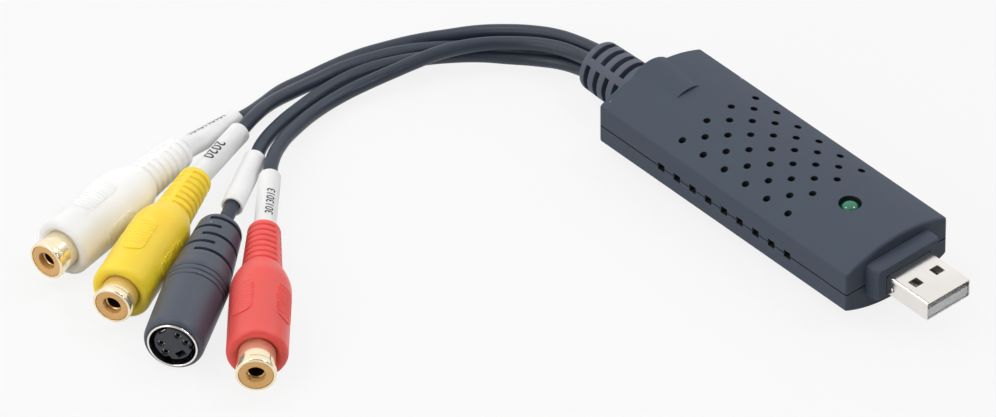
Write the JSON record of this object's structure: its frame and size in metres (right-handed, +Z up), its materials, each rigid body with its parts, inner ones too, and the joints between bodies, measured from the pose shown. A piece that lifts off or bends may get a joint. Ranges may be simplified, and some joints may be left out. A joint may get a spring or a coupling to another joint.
{
  "type": "usb video capture box",
  "caption": "Stick-shaped video capture box: vented two-shell housing with a USB plug, a ribbed boot and fixed leads to phono and mini-DIN input sockets, with loose marker sleeves.",
  "frame": {"origin": "on the resting surface, under the middle of the plug, housing and boot", "axes": "+X along the housing and out of the USB plug, +Y across it, +Z up"},
  "size_m": [0.1474, 0.1402, 0.0166],
  "materials": {
    "shell_plastic": "fine matt",
    "nickel": "bright",
    "white_plastic": "smooth",
    "gold": "plated",
    "board": "lacquered",
    "chip": "matt",
    "can": "satin",
    "green_lens": "clear green",
    "boot_rubber": "matt",
    "wire": "smooth",
    "cord_rubber": "satin",
    "sleeve": "smooth",
    "white_soft": "soft",
    "yellow_plastic": "soft",
    "red_plastic": "soft",
    "dark_soft": "soft",
    "tan_disc": "smooth",
    "black_core": "smooth"
  },
  "bodies": {
    "box": {"top_shell": "shell_plastic", "bottom_shell": "shell_plastic", "usb_shell": "nickel", "usb_insulator": "white_plastic", "usb_contacts": "gold", "circuit_board": "board", "capture_chip": "chip", "audio_chip": "chip", "crystal": "nickel", "capacitors": "can", "led_lens": "green_lens", "led_leads": "nickel", "strain_relief": "boot_rubber", "hookup_wires": "wire", "white_cord": "cord_rubber", "yellow_cord": "cord_rubber", "svideo_cord": "cord_rubber", "red_cord": "cord_rubber", "white_jack_body": "white_soft", "white_jack_barrel": "gold", "white_jack_insulator": "tan_disc", "white_jack_contact": "gold", "yellow_jack_body": "yellow_plastic", "yellow_jack_barrel": "gold", "yellow_jack_insulator": "tan_disc", "yellow_jack_contact": "gold", "red_jack_body": "red_plastic", "red_jack_barrel": "gold", "red_jack_insulator": "tan_disc", "red_jack_contact": "gold", "svideo_jack_body": "dark_soft", "svideo_jack_ring": "nickel", "svideo_jack_core": "black_core", "svideo_jack_contacts": "nickel"},
    "white_sleeve": {"white_sleeve": "sleeve"},
    "yellow_sleeve": {"yellow_sleeve": "sleeve"},
    "svideo_sleeve": {"svideo_sleeve": "sleeve"},
    "red_sleeve": {"red_sleeve": "sleeve"}
  },
  "joints": [
    {"name": "white_sleeve_slide", "type": "slide", "parent": "box", "child": "white_sleeve", "axis": [0.1584, -0.9704, 0.1824], "range_m": [-0.0035, 0]},
    {"name": "yellow_sleeve_slide", "type": "slide", "parent": "box", "child": "yellow_sleeve", "axis": [0.3372, -0.941, 0.0271], "range_m": [-0.004, 0]},
    {"name": "svideo_sleeve_slide", "type": "slide", "parent": "box", "child": "svideo_sleeve", "axis": [0.5503, -0.8321, 0.069], "range_m": [-0.001, 0.008]},
    {"name": "red_sleeve_slide", "type": "slide", "parent": "box", "child": "red_sleeve", "axis": [0.7109, -0.7029, 0.0246], "range_m": [-0.0015, 0.0001]}
  ]
}
